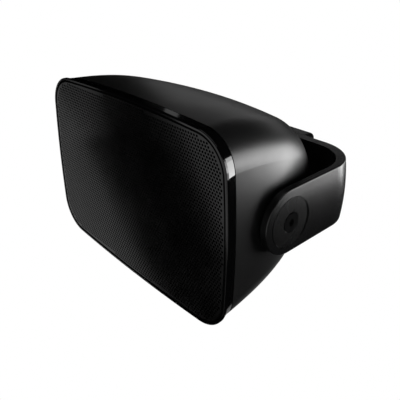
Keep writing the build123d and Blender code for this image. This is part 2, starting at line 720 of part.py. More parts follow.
def make_woofer_surround():
    """Half-roll ring from the cone's lip to the basket's flange, with a flat foot on each."""
    back = BAFFLE_FACE
    front = back - SURROUND_THICKNESS
    inner_foot = CONE_EDGE_RADIUS - SURROUND_FOOT
    outer_foot = WOOFER_THROAT + SURROUND_FOOT
    roll_centre = (CONE_EDGE_RADIUS + WOOFER_THROAT) / 2
    roll = (WOOFER_THROAT - CONE_EDGE_RADIUS) / 2
    thick = SURROUND_THICKNESS
    surround = turned(
        polyline(
            (roll_centre - roll, back), (inner_foot, back), (inner_foot, front),
            (roll_centre - roll - thick, front),
        ),
        arc(
            (roll_centre - roll - thick, front),
            (roll_centre, back - roll - thick),
            (roll_centre + roll + thick, front),
        ),
        polyline(
            (roll_centre + roll + thick, front), (outer_foot, front), (outer_foot, back),
            (roll_centre + roll, back),
        ),
        arc(
            (roll_centre + roll, back), (roll_centre, back - roll), (roll_centre - roll, back)
        ),
    )
    return along_y(surround, WOOFER_X)


def make_woofer_spider():
    """Corrugated ring from the former to the basket's shelf."""
    seat = BASKET_SHELF_DEPTH
    foot_inner = BASKET_SHELF_RADIUS - FIT - SPIDER_FOOT
    step = (foot_inner - FORMER_OUTER) / (2 * SPIDER_WAVES)
    backs = [(BASKET_SHELF_RADIUS - FIT, seat), (foot_inner, seat)]
    for index in range(1, 2 * SPIDER_WAVES):
        rise = SPIDER_WAVE if index % 2 else 0
        backs.append((foot_inner - step * index, seat - rise))
    backs.append((FORMER_OUTER, seat))
    fronts = [(radius, depth - SPIDER_THICKNESS) for radius, depth in reversed(backs)]
    return along_y(turned(polyline(*backs, *fronts, close=True)), WOOFER_X)


# Tweeter parts, from its faceplate backwards
TWEETER_BACK_FACE = BAFFLE_FACE + TWEETER_FLANGE
TWEETER_PLATE_BACK = TWEETER_BACK_FACE + TWEETER_PLATE
TWEETER_MAGNET_BACK = TWEETER_PLATE_BACK + TWEETER_MAGNET
TWEETER_MOTOR_RADIUS = TWEETER_BODY - TWEETER_CUP_WALL
TWEETER_POLE_RADIUS = DOME_RADIUS - DOME_THICKNESS - COIL_GAP
TWEETER_GAP_RADIUS = DOME_RADIUS + COIL_GAP


def make_tweeter_faceplate():
    foot_room = DOME_FOOT + FIT
    foot_front = TWEETER_BACK_FACE - DOME_THICKNESS
    plate = turned(
        arc(
            (TWEETER_THROAT, foot_front),
            (mix(TWEETER_THROAT, TWEETER_MOUTH, 0.35), mix(BAFFLE_FACE, foot_front, 0.42)),
            (TWEETER_MOUTH, BAFFLE_FACE),
        ),
        polyline(
            (TWEETER_MOUTH, BAFFLE_FACE),
            (TWEETER_RADIUS, BAFFLE_FACE),
            (TWEETER_RADIUS, TWEETER_BACK_FACE),
            (foot_room, TWEETER_BACK_FACE),
            (foot_room, foot_front),
            (TWEETER_THROAT, foot_front),
        ),
    )
    for x, z in circle_places(DRIVER_SCREWS, TWEETER_SCREW_CIRCLE):
        plate -= Pos(x, z, 0) * ring(
            0, DRIVER_SCREW_SHANK + FIT, BAFFLE_FACE, TWEETER_BACK_FACE
        )
    return along_y(plate, TWEETER_X)


def make_tweeter_dome():
    """Dome with a flat foot that is held under the faceplate."""
    foot_front = TWEETER_BACK_FACE - DOME_THICKNESS
    crown = foot_front - DOME_RISE
    inner = DOME_RADIUS - DOME_THICKNESS
    dome = turned(
        cap_arc(DOME_RADIUS, foot_front, DOME_RISE),
        polyline(
            (DOME_RADIUS, foot_front),
            (DOME_FOOT, foot_front),
            (DOME_FOOT, TWEETER_BACK_FACE),
            (inner, TWEETER_BACK_FACE),
        ),
        cap_arc(inner, TWEETER_BACK_FACE, DOME_RISE),
        polyline((0, crown + DOME_THICKNESS), (0, crown)),
    )
    return along_y(dome, TWEETER_X)


def make_tweeter_voice_coil():
    back = TWEETER_BACK_FACE + TWEETER_COIL_HEIGHT
    return along_y(ring(DOME_RADIUS - DOME_THICKNESS, DOME_RADIUS, TWEETER_BACK_FACE, back), TWEETER_X)


def make_tweeter_top_plate():
    plate = ring(TWEETER_GAP_RADIUS, TWEETER_MOTOR_RADIUS, TWEETER_BACK_FACE, TWEETER_PLATE_BACK)
    return along_y(plate, TWEETER_X)


def make_tweeter_magnet():
    inner = (TWEETER_GAP_RADIUS + TWEETER_MOTOR_RADIUS) / 2
    return along_y(
        ring(inner, TWEETER_MOTOR_RADIUS, TWEETER_PLATE_BACK, TWEETER_MAGNET_BACK), TWEETER_X
    )


def make_tweeter_pole():
    back = TWEETER_MAGNET_BACK + TWEETER_BACK
    pole = turned(
        polyline(
            (0, TWEETER_BACK_FACE),
            (TWEETER_POLE_RADIUS, TWEETER_BACK_FACE),
            (TWEETER_POLE_RADIUS, TWEETER_MAGNET_BACK),
            (TWEETER_MOTOR_RADIUS, TWEETER_MAGNET_BACK),
            (TWEETER_MOTOR_RADIUS, back),
            (0, back),
            close=True,
        )
    )
    return along_y(pole, TWEETER_X)


def make_tweeter_cup():
    """Closed cup round the motor, seated on the faceplate's back."""
    back = TWEETER_BACK_FACE + TWEETER_CUP_DEPTH
    cup = ring(0, TWEETER_BODY, TWEETER_BACK_FACE, back)
    cup -= ring(0, TWEETER_MOTOR_RADIUS, TWEETER_BACK_FACE, back - TWEETER_CUP_WALL)
    return along_y(cup, TWEETER_X)


def make_crossover_board():
    board = rounded_plate(BOARD_WIDTH, BOARD_HEIGHT, BOARD_SCREW_INSET / 2, BOARD_FACE, BOARD_BACK)
    board = along_y(board, BOARD_X)
    for x, z in BOARD_SCREWS:
        board -= along_y(ring(0, SMALL_SCREW_SHANK + FIT, BOARD_FACE, BOARD_BACK), x, z)
    return board


def make_crossover_inductors():
    """Two air-cored coils that stand on the board, one above the other."""
    coil = ring(INDUCTOR_INNER_RADIUS, INDUCTOR_RADIUS, BOARD_FACE - INDUCTOR_HEIGHT, BOARD_FACE)
    rise = INDUCTOR_RADIUS + BOARD_PART_GAP / 2
    return [along_y(coil, INDUCTOR_X, INDUCTOR_GAP_Z + sign * rise) for sign in (-1, 1)]


def make_crossover_capacitors():
    """Two capacitors that lie on the board along its height."""
    y = LIP_Y + BOARD_FACE - CAPACITOR_RADIUS
    rise = (CAPACITOR_LENGTH + BOARD_PART_GAP) / 2
    return [
        Pos(CAPACITOR_X, y, CAPACITOR_GAP_Z + sign * rise) * Cylinder(CAPACITOR_RADIUS, CAPACITOR_LENGTH)
        for sign in (-1, 1)
    ]


def make_crossover_resistor():
    y = LIP_Y + BOARD_FACE - RESISTOR_SIZE / 2
    return Pos(BOARD_X, y, RESISTOR_Z) * Box(RESISTOR_LENGTH, RESISTOR_SIZE, RESISTOR_SIZE)


def make_board_screws():
    model = screw(
        SMALL_SCREW_HEAD,
        SMALL_SCREW_HEAD_HEIGHT,
        SMALL_SCREW_SHANK,
        BOARD_FACE,
        SMALL_SCREW_LENGTH,
    )
    return [along_y(model, x, z) for x, z in BOARD_SCREWS]


def terminal_layer(front, back):
    """Rounded plate on the cabinet's back with holes for the posts and screws."""
    plate = along_y(
        rounded_plate(TERMINAL_WIDTH, TERMINAL_HEIGHT, TERMINAL_CORNER, front, back), TERMINAL_X
    )
    for x in POST_PLACES.values():
        plate -= along_y(ring(0, POST_RADIUS, front, back), x)
    for x, z in TERMINAL_SCREWS:
        plate -= along_y(ring(0, SMALL_SCREW_SHANK + FIT, front, back), x, z)
    return plate


def make_terminal_seal():
    return terminal_layer(CABINET_DEPTH, TERMINAL_SEAT)


def make_terminal_plate():
    return terminal_layer(TERMINAL_SEAT, TERMINAL_FACE)


def make_terminal_screws():
    model = turned(
        polyline(
            (0, TERMINAL_FACE + SMALL_SCREW_HEAD_HEIGHT),
            (SMALL_SCREW_HEAD, TERMINAL_FACE + SMALL_SCREW_HEAD_HEIGHT),
            (SMALL_SCREW_HEAD, TERMINAL_FACE),
            (SMALL_SCREW_SHANK, TERMINAL_FACE),
            (SMALL_SCREW_SHANK, TERMINAL_FACE - SMALL_SCREW_LENGTH),
            (0, TERMINAL_FACE - SMALL_SCREW_LENGTH),
            close=True,
        )
    )
    return [along_y(model, x, z) for x, z in TERMINAL_SCREWS]


def terminal_post(x):
    """Metal post through the plate, with a thin stem for the inner lead."""
    top = TERMINAL_FACE + POST_HEIGHT
    post = turned(
        polyline(
            (0, POST_STEM_END),
            (POST_STEM_RADIUS, POST_STEM_END),
            (POST_STEM_RADIUS, INNER_BACK),
            (POST_RADIUS - THREAD_FIT, INNER_BACK),
            (POST_RADIUS - THREAD_FIT, top),
            (0, top),
            close=True,
        )
    )
    return along_y(post, x)


# Coil spring round each post, in a pocket of its push cap
SPRING_RADIUS = POST_RADIUS + 2 * RUN + SPRING_WIRE
BUTTON_FRONT = TERMINAL_FACE + FIT + BUTTON_TRAVEL
SPRING_SEAT = BUTTON_FRONT + SPRING_POCKET


def terminal_button(x):
    """Push cap that slides on its post towards the plate, against its spring."""
    bore = POST_RADIUS + RUN
    bore_end = TERMINAL_FACE + POST_HEIGHT + FIT + BUTTON_TRAVEL
    pocket = SPRING_RADIUS + SPRING_WIRE + RUN
    outside = pocket + BUTTON_WALL
    button = turned(
        polyline(
            (pocket, BUTTON_FRONT),
            (outside, BUTTON_FRONT),
            (outside, bore_end + BUTTON_WALL),
            (0, bore_end + BUTTON_WALL),
            (0, bore_end),
            (bore, bore_end),
            (bore, SPRING_SEAT),
            (pocket, SPRING_SEAT),
            close=True,
        )
    )
    return along_y(button, x)


def terminal_spring(x):
    start = TERMINAL_FACE + SPRING_WIRE
    height = SPRING_SEAT - SPRING_WIRE - start
    path = Helix(height / SPRING_TURNS, height, SPRING_RADIUS)
    wire = Plane(path @ 0, z_dir=path % 0) * Circle(SPRING_WIRE)
    return along_y(Pos(0, 0, start) * sweep(wire, path, is_frenet=True), x)


def lead(*points):
    """Wire along straight runs and tangent bends, through points of width, depth and height."""
    path = FilletPolyline(*[(x, LIP_Y + depth, z) for x, depth, z in points], radius=LEAD_BEND)
    return sweep(Plane(path @ 0, z_dir=path % 0) * Circle(LEAD_RADIUS), path)


def make_input_leads():
    """From the terminal posts forward, across to the board and back onto its face."""
    board_x = BOARD_X - BOARD_WIDTH / 2 + LEAD_BOARD_EDGE
    leads = []
    for colour, sign in {"red": 1, "black": -1}.items():
        x = POST_PLACES[colour]
        run = POST_STEM_END - LEAD_RUN - (LEAD_STEP if colour == "red" else 0)
        z = INDUCTOR_GAP_Z + sign * LEAD_PITCH / 2
        leads.append(
            lead((x, POST_STEM_END, 0), (x, run, 0), (board_x, run, z), (board_x, BOARD_FACE, z))
        )
    return leads


def driver_leads(board_z, end_x, end_depth):
    """From the board, between its coils and its capacitors, to a driver's back."""
    coil_edge = INDUCTOR_X + INDUCTOR_RADIUS
    capacitor_edge = CAPACITOR_X - CAPACITOR_RADIUS
    board_x = (coil_edge + capacitor_edge) / 2
    leads = []
    for offset in (-LEAD_PITCH / 2, LEAD_PITCH / 2):
        leads.append(
            lead(
                (board_x, BOARD_FACE, board_z + offset),
                (board_x, BOARD_FACE - LEAD_LEAVE, board_z + offset),
                (end_x, end_depth + LEAD_ARRIVE, offset),
                (end_x, end_depth, offset),
            )
        )
    return leads


def yoke_path(half_width, back_y, corner, front_y):
    """Plan line that is open to the front, with two rounded corners at the back."""
    return FilletPolyline(
        (half_width, front_y),
        (half_width, back_y),
        (-half_width, back_y),
        (-half_width, front_y),
        radius=corner,
    )


def yoke_block(half_width, back_y, corner, front_y, height):
    """Solid within such a plan line, to a height above and below the middle."""
    path = yoke_path(half_width, back_y, corner, front_y)
    return extrude(make_face([path, Line(path @ 1, path @ 0)]).face(), amount=height, both=True)


def strap_form():
    """Solid U under the strap's outer face, which bows out between its rounded edges.

    The strap's section runs round the plan line and turns about the pivot at the arm ends.
    """
    half = STRAP_HEIGHT / 2
    crown = Vector(ARM_OUTER_X, PIVOT_Y, 0)
    edge = Vector(ARM_OUTER_X - STRAP_BOW, PIVOT_Y, half)
    inner_x = ARM_INNER_X - WEB_THICKNESS
    bow = TangentArc(crown, edge, tangent=(0, 0, 1))
    sides = Polyline(edge, (inner_x, PIVOT_Y, half), (inner_x, PIVOT_Y, 0), crown)
    upper = make_face([bow, sides]).face()
    corner = upper.vertices().sort_by_distance(edge)[0]
    upper = upper.fillet_2d(YOKE_EDGE_ROUND, [corner])
    section = upper + mirror(upper, about=Plane.XY)
    strap = sweep(section, yoke_path(ARM_OUTER_X, WEB_BACK_Y, YOKE_OUTER_CORNER, PIVOT_Y))
    arm_end = revolve(upper, Axis((0, PIVOT_Y, 0), (1, 0, 0)), 180)
    return strap + arm_end + mirror(arm_end, about=Plane.YZ)


def make_yoke():
    """U-shaped strap with round arm ends about the pivot."""
    front = PIVOT_Y - STRAP_HEIGHT
    yoke = strap_form() - yoke_block(ARM_INNER_X, WEB_FRONT_Y, YOKE_INNER_CORNER, front, STRAP_HEIGHT)
    for side in (-1, 1):
        yoke -= rod_x(DISC_RADIUS, side * DISC_SEAT_X, side * (ARM_OUTER_X + DISC_DOME), PIVOT_Y)
        yoke -= rod_x(PIVOT_BOLT_RADIUS + RUN, side * ARM_INNER_X, side * DISC_SEAT_X, PIVOT_Y)
        x = side * YOKE_BOLT_SPAN / 2
        head_floor = WEB_FRONT_Y + YOKE_BOLT_HEAD_HEIGHT
        yoke -= along_y(ring(0, YOKE_BOLT_HEAD + FIT, WEB_FRONT_Y - LIP_Y, head_floor - LIP_Y), x)
        yoke -= along_y(ring(0, YOKE_BOLT_RADIUS + FIT, head_floor - LIP_Y, WEB_BACK_Y - LIP_Y), x)
    return yoke


def make_wall_plate():
    """Plate with a flat back, hollowed in front to seat the strap's bowed back."""
    half = PLATE_WIDTH / 2
    plate = yoke_block(half, 0, PLATE_END_ROUND, -PLATE_THICKNESS, STRAP_HEIGHT / 2)
    front = -PLATE_THICKNESS - LIP_Y
    back = -LIP_Y
    plate &= along_y(rounded_plate(PLATE_WIDTH, STRAP_HEIGHT, PLATE_CORNER, front, back))
    plate -= strap_form()
    sink = WEB_BACK_Y - LIP_Y
    hole = turned(
        polyline(
            (0, front),
            (WALL_SCREW_SINK, front),
            (WALL_SCREW_SINK, sink),
            (WALL_SCREW_HOLE, sink + WALL_SCREW_SINK - WALL_SCREW_HOLE),
            (WALL_SCREW_HOLE, back),
            (0, back),
            close=True,
        )
    )
    for x_sign in (-1, 1):
        for z_sign in (-1, 1):
            plate -= along_y(hole, x_sign * WALL_SCREW_SPAN / 2, z_sign * WALL_SCREW_RISE / 2)
        plate -= along_y(
            ring(0, YOKE_BOLT_RADIUS + THREAD_FIT, front, back), x_sign * YOKE_BOLT_SPAN / 2
        )
    return plate


def make_yoke_bolts():
    seat = WEB_FRONT_Y + YOKE_BOLT_HEAD_HEIGHT - LIP_Y
    length = -LIP_Y - YOKE_BOLT_END_ROOM - seat
    model = screw(YOKE_BOLT_HEAD, YOKE_BOLT_HEAD_HEIGHT, YOKE_BOLT_RADIUS, seat, length)
    return [along_y(model, side * YOKE_BOLT_SPAN / 2) for side in (-1, 1)]


def on_pivot(solid, side):
    """Place a solid built along Z on the pivot axis, with Z pointing out of that side."""
    return Pos(0, PIVOT_Y, 0) * Rot(0, side * 90, 0) * solid


def pivot_disc(side):
    """Domed ring in the arm's recess round the head of the pivot bolt."""
    outer = DISC_RADIUS - DISC_GROOVE
    rim = DISC_SEAT_X + DISC_THICKNESS
    crown = rim + DISC_DOME
    middle = (outer + DISC_HOLE_RADIUS) / 2
    disc = turned(
        polyline(
            (DISC_HOLE_RADIUS, crown), (DISC_HOLE_RADIUS, DISC_SEAT_X), (outer, DISC_SEAT_X), (outer, rim)
        ),
        arc((outer, rim), (middle, mix(rim, crown, 0.72)), (DISC_HOLE_RADIUS, crown)),
    )
    return on_pivot(disc, side)


def pivot_bolt(side):
    head_top = HEAD_SEAT_X + PIVOT_HEAD_HEIGHT
    bolt = turned(
        polyline(
            (0, HEAD_SEAT_X - PIVOT_BOLT_LENGTH),
            (PIVOT_BOLT_RADIUS, HEAD_SEAT_X - PIVOT_BOLT_LENGTH),
            (PIVOT_BOLT_RADIUS, HEAD_SEAT_X),
            (PIVOT_HEAD_RADIUS, HEAD_SEAT_X),
            (PIVOT_HEAD_RADIUS, head_top),
            (0, head_top),
            close=True,
        )
    )
    socket = RegularPolygon(PIVOT_SOCKET_FLATS / 2, 6, major_radius=False)
    bolt -= Pos(0, 0, head_top - PIVOT_SOCKET_DEPTH) * extrude(socket, amount=PIVOT_SOCKET_DEPTH)
    return on_pivot(bolt, side)


def friction_washer(side):
    return on_pivot(ring(PIVOT_BOLT_RADIUS + FIT, PAD_RADIUS, PAD_X, WASHER_X), side)


def pivot_insert(side):
    inner = PIVOT_BOLT_RADIUS + THREAD_FIT
    return on_pivot(ring(inner, INSERT_RADIUS, PAD_X - INSERT_LENGTH, PAD_X), side)


PIECES = {
    "wall_plate": make_wall_plate(),
    "yoke": make_yoke(),
    "yoke_bolts": make_yoke_bolts(),
    "cabinet": make_cabinet(),
    "front_baffle": make_front_baffle(),
    "baffle_seal": make_baffle_seal(),
    "baffle_screws": make_baffle_screws(),
    "grille": make_grille(),
    "grille_cloth": make_grille_cloth(),
    "woofer_basket": make_woofer_basket(),
    "woofer_seal": driver_seal(
        WOOFER_X, WOOFER_RADIUS, WOOFER_FLANGE, WOOFER_THROAT + BASKET_WALL, WOOFER_SCREW_CIRCLE
    ),
    "woofer_screws": driver_screws(WOOFER_X, WOOFER_SCREW_CIRCLE),
    "woofer_top_plate": make_woofer_top_plate(),
    "woofer_magnet": make_woofer_magnet(),
    "woofer_pole": make_woofer_pole(),
    "woofer_spider": make_woofer_spider(),
    "woofer_surround": make_woofer_surround(),
    "woofer_cone": make_woofer_cone(),
    "woofer_dust_cap": make_woofer_dust_cap(),
    "voice_coil_former": make_voice_coil_former(),
    "voice_coil_winding": make_voice_coil_winding(),
    "tweeter_faceplate": make_tweeter_faceplate(),
    "tweeter_seal": driver_seal(
        TWEETER_X, TWEETER_RADIUS, TWEETER_FLANGE, TWEETER_BODY, TWEETER_SCREW_CIRCLE
    ),
    "tweeter_screws": driver_screws(TWEETER_X, TWEETER_SCREW_CIRCLE),
    "tweeter_dome": make_tweeter_dome(),
    "tweeter_voice_coil": make_tweeter_voice_coil(),
    "tweeter_top_plate": make_tweeter_top_plate(),
    "tweeter_magnet": make_tweeter_magnet(),
    "tweeter_pole": make_tweeter_pole(),
    "tweeter_cup": make_tweeter_cup(),
    "crossover_board": make_crossover_board(),
    "crossover_inductors": make_crossover_inductors(),
    "crossover_capacitors": make_crossover_capacitors(),
    "crossover_resistor": make_crossover_resistor(),
    "board_screws": make_board_screws(),
    "terminal_seal": make_terminal_seal(),
    "terminal_plate": make_terminal_plate(),
    "terminal_screws": make_terminal_screws(),
    "input_leads": make_input_leads(),
    "woofer_leads": driver_leads(-LEAD_BOARD_DROP, WOOFER_LEAD_X, BASKET_BACK_DEPTH),
    "tweeter_leads": driver_leads(0, TWEETER_X, TWEETER_BACK_FACE + TWEETER_CUP_DEPTH),
}
for colour, place in POST_PLACES.items():
    PIECES[f"terminal_post_{colour}"] = terminal_post(place)
    PIECES[f"terminal_button_{colour}"] = terminal_button(place)
    PIECES[f"terminal_spring_{colour}"] = terminal_spring(place)
for name, side in {"left": -1, "right": 1}.items():
    PIECES[f"pivot_disc_{name}"] = pivot_disc(side)
    PIECES[f"pivot_bolt_{name}"] = pivot_bolt(side)
    PIECES[f"friction_washer_{name}"] = friction_washer(side)
    PIECES[f"pivot_insert_{name}"] = pivot_insert(side)

os.makedirs("parts", exist_ok=True)
for name, piece in PIECES.items():
    shape = Compound(children=piece) if isinstance(piece, list) else piece
    export_step(shape, f"parts/{name}.step")
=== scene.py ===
import json
import math
from collections import namedtuple

import bmesh
import bpy
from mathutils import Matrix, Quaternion, Vector
from mathutils.geometry import delaunay_2d_cdt


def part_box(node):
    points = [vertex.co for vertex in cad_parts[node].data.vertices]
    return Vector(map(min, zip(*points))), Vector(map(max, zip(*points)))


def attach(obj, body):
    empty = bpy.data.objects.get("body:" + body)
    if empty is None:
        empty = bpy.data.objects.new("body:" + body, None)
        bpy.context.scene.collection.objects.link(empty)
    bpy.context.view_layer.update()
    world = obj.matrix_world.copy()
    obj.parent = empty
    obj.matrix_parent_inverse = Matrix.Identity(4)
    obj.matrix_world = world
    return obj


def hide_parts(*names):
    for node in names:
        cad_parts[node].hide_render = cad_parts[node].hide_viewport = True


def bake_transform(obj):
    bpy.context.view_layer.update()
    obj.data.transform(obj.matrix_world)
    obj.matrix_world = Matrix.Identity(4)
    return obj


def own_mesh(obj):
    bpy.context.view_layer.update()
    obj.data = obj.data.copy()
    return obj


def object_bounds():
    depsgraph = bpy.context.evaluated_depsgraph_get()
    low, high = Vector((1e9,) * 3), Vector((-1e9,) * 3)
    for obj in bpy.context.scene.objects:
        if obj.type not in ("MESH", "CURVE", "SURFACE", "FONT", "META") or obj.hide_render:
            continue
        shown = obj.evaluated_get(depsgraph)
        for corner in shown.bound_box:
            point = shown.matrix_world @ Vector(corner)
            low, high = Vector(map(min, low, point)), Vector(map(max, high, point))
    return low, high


# Outdoor patio speaker on a tilting wall bracket: its finishes, its perforated grille and a studio.
# Metres, in the part's own frame: the wall is the plane y = 0, the grille faces -Y and +Z is up.

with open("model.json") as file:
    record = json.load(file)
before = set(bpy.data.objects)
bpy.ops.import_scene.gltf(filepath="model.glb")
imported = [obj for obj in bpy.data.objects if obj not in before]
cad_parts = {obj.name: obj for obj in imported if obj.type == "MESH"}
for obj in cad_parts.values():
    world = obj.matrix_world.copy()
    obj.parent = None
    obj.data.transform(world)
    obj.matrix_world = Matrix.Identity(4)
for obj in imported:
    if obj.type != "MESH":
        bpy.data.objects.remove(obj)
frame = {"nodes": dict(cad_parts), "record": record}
cad_low, cad_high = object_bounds()
middle = (cad_low + cad_high) / 2
nodes = frame["nodes"]
slots = {subpart["node"]: subpart["material_slot"] for subpart in frame["record"]["subparts"]}

MM = 0.001
WHITE = (1, 1, 1, 1)
BLACK = (0, 0, 0, 1)

# Meshes: distance within which points are welded, tolerance of cuts, and angle of a sharp edge
WELD = 1e-6
TOLERANCE = 1e-7
SHARP_ANGLE = math.radians(40)

# Camera at the photograph's viewing angle, with its axis at a row above the picture's middle
IMAGE_SIZE = 400
CAMERA_PLACE = Vector((0.3580, -0.4104, 0.2152))
CAMERA_DIRECTION = Vector((-0.6936, 0.6197, -0.3674))
CAMERA_ROLL = math.radians(-0.3)
FOCAL_PIXELS = 513.04
AXIS_PIXEL_Y = 140
SENSOR = 36.0
CLIP_START = 10 * MM

# Face outline, as in the part: half width, half height, bows of the ends and long sides, corner
Section = namedtuple("Section", "half_width half_height end_bow long_bow corner")
Arc = namedtuple("Arc", "centre radius start end")
LIP = Section(130 * MM, 89.5 * MM, 4.8 * MM, 5.0 * MM, 33.0 * MM)
LIP_Y = cad_low.y

# Points along half a side and along a corner of an outline, and steps of the rim's rolled edge
SIDE_POINTS = 24
CORNER_POINTS = 14
EDGE_STEPS = 5

# Grille: depths behind the lip's front plane and the sheet's thickness
GRILLE_FRONT = 0.4 * MM
GRILLE_SEAT = 8.0 * MM
SHEET = 1.2 * MM

# Widths along the face: from the lip's outline to the rim, the rim's rolled edge, its whole edge
# in painted shade, and the least plain border between that edge and the cells
GRILLE_GAP = 3.0 * MM
EDGE_ROUND = 0.6 * MM
RIM_EDGE = 1.1 * MM
PLAIN_EDGE = 0.1 * MM

# Each hole has a hexagon cell and takes a share of its width. The lattice is counted in half
# pitches across and half cell sides up, and the rows of cells are staggered.
HOLE_PITCH = 3.1 * MM
HOLE_SHARE = 0.66
ROW_STEP = 3
CELL_CORNERS = ((0, 2), (-1, 1), (-1, -1), (0, -2), (1, -1), (1, 1))
CELL_SIDES = tuple(zip(CELL_CORNERS, CELL_CORNERS[1:] + CELL_CORNERS[:1]))

# The kind of output of delaunay_2d_cdt that keeps what lies inside the outlines
INSIDE_OUTLINES = 1

# Coil springs behind the terminal caps, as in the part, with depths behind the lip's front plane
SPRING_FRONT = 144.8 * MM
SPRING_BACK = 151.3 * MM
SPRING_RADIUS = 4.2 * MM
SPRING_WIRE = 0.4 * MM
SPRING_TURNS = 3
SPRING_PLACES = {"red": -61 * MM, "black": -39 * MM}
COIL_STEPS = 28
WIRE_SIDES = 8

# Woofer's flexible rings: radii where the basket holds them and where the cone moves them
FLEX_RADII = {"woofer_surround": (63.0 * MM, 54.5 * MM), "woofer_spider": (37.2 * MM, 12.8 * MM)}
FLEX_SECTORS = 12

# Finishes: colour, roughness, metal share, grain size, bump height, how much the roughness varies
# and the specular level
USUAL_SPECULAR = 0.5
Finish = namedtuple(
    "Finish", "colour roughness metallic grain bump spread specular", defaults=(USUAL_SPECULAR,)
)
FINISHES = {
    "satin_cabinet": Finish((0.0022, 0.0022, 0.0023), 0.36, 0.0, 0.45 * MM, 0.010 * MM, 0.04),
    "gloss_band": Finish((0.0012, 0.0012, 0.0013), 0.07, 0.0, 6.0 * MM, 0.004 * MM, 0.02),
    "grille_metal": Finish((0.0012, 0.0012, 0.0012), 0.12, 0.0, 2.0 * MM, 0.004 * MM, 0.04),
    "grille_cloth": Finish((0.0008, 0.0008, 0.0008), 0.95, 0.0, 0.5 * MM, 0.080 * MM, 0.03, 0.05),
    "bracket_coat": Finish((0.0030, 0.0030, 0.0031), 0.26, 0.0, 0.35 * MM, 0.012 * MM, 0.02),
    "pivot_cover": Finish((0.0030, 0.0030, 0.0031), 0.27, 0.0, 0.30 * MM, 0.010 * MM, 0.02),
    "black_steel": Finish((0.0030, 0.0030, 0.0031), 0.24, 0.0, 0.8 * MM, 0.006 * MM, 0.04, 0.1),
    "washer_plastic": Finish((0.0200, 0.0200, 0.0200), 0.55, 0.0, 0.5 * MM, 0.008 * MM, 0.05),
    "brass": Finish((0.72, 0.50, 0.20), 0.28, 1.0, 0.8 * MM, 0.006 * MM, 0.08),
    "seal_rubber": Finish((0.0100, 0.0100, 0.0100), 0.80, 0.0, 0.4 * MM, 0.020 * MM, 0.05),
    "cast_frame": Finish((0.0300, 0.0300, 0.0310), 0.50, 0.4, 0.6 * MM, 0.020 * MM, 0.08),
    "motor_steel": Finish((0.45, 0.45, 0.46), 0.35, 1.0, 0.8 * MM, 0.008 * MM, 0.08),
    "magnet": Finish((0.0450, 0.0450, 0.0450), 0.62, 0.0, 0.5 * MM, 0.020 * MM, 0.06),
    "cone_fibre": Finish((0.0250, 0.0250, 0.0250), 0.70, 0.0, 0.7 * MM, 0.030 * MM, 0.06),
    "coil_former": Finish((0.60, 0.60, 0.62), 0.30, 1.0, 0.8 * MM, 0.004 * MM, 0.06),
    "copper": Finish((0.72, 0.36, 0.20), 0.30, 1.0, 0.4 * MM, 0.020 * MM, 0.08),
    "spider_cloth": Finish((0.42, 0.30, 0.12), 0.90, 0.0, 0.6 * MM, 0.060 * MM, 0.04),
    "tweeter_moulding": Finish((0.0100, 0.0100, 0.0100), 0.42, 0.0, 0.4 * MM, 0.010 * MM, 0.05),
    "dome_metal": Finish((0.52, 0.52, 0.54), 0.25, 1.0, 0.8 * MM, 0.004 * MM, 0.06),
    "board_laminate": Finish((0.020, 0.15, 0.065), 0.40, 0.0, 0.8 * MM, 0.010 * MM, 0.06),
    "capacitor_sleeve": Finish((0.035, 0.07, 0.28), 0.25, 0.0, 1.5 * MM, 0.010 * MM, 0.05),
    "resistor_cement": Finish((0.72, 0.70, 0.65), 0.85, 0.0, 0.6 * MM, 0.040 * MM, 0.05),
    "lead_sleeve": Finish((0.0200, 0.0200, 0.0210), 0.50, 0.0, 0.6 * MM, 0.010 * MM, 0.05),
    "terminal_moulding": Finish((0.0090, 0.0090, 0.0090), 0.45, 0.0, 0.4 * MM, 0.012 * MM, 0.05),
    "cap_red": Finish((0.42, 0.012, 0.012), 0.24, 0.0, 1.2 * MM, 0.006 * MM, 0.04),
    "cap_black": Finish((0.0080, 0.0080, 0.0080), 0.24, 0.0, 1.2 * MM, 0.006 * MM, 0.04),
}

# In every finish: the grain darkens and lightens the colour by these factors, and slow clouds, so
# many to the metre, vary the roughness over this part of their range
GRAIN_DETAIL = 3
GRAIN_TINTS = (0.88, 1.12)
CLOUD_SCALE = 25
CLOUD_DETAIL = 2
CLOUD_RANGE = (0.3, 0.7)

# Studio: strength of the light from all round, the floor below and the dark surround
AMBIENT = 0.5
FLOOR_DROP = 7.5
FLOOR_SIZE = 60.0
FLOOR_COLOUR = (0.8, 0.8, 0.8, 1)
FLOOR_ROUGHNESS = 0.9
TENT_RADIUS = 7.0
TENT_SEGMENTS = 48
TENT_RINGS = 24

# Lamps: places and extents as angles in degrees seen from the object, and what each one lights
LAMP_DISTANCE = 5.0
Lamp = namedtuple("Lamp", "azimuth elevation wide high roll radiance")
LAMPS = {
    "key_softbox": Lamp(58, 0, 46, 28, -26, 5.4),  # cabinet's end and the band's corner
    "key_skirt": Lamp(63, -7, 56, 24, 0, 2.7),  # arm, and below the key on the cabinet's end
    "left_card": Lamp(200.2, -25.2, 18, 47, 15.4, 0.5),  # grille's left
    "left_top_card": Lamp(209.3, -10, 3, 20, 0, 0.28),  # grille's upper left corner
    "front_fill": Lamp(253, -14, 60, 40, 33, 0.6),  # grille's right
    "right_fill": Lamp(322, -5, 60, 60, 0, 0.8),  # edges of the lip and of the arm's round end
    "back_card": Lamp(117, 11, 50, 8, 0, 0.8),  # cabinet's top and the strap's top edge
    "strap_card": Lamp(120, 15, 12, 8, 0, 0.2),  # more on the strap's top edge
    "overhead": Lamp(100, 80, 60, 36, 0, 0.6),  # faint light on what faces up
    "under_card": Lamp(112, -45, 34, 16, 0, 0.3),  # thin light along the cabinet's lower edge
    "band_card": Lamp(139, 18, 2, 10, 0, 0.24),  # small patch on the band, above the grille
}


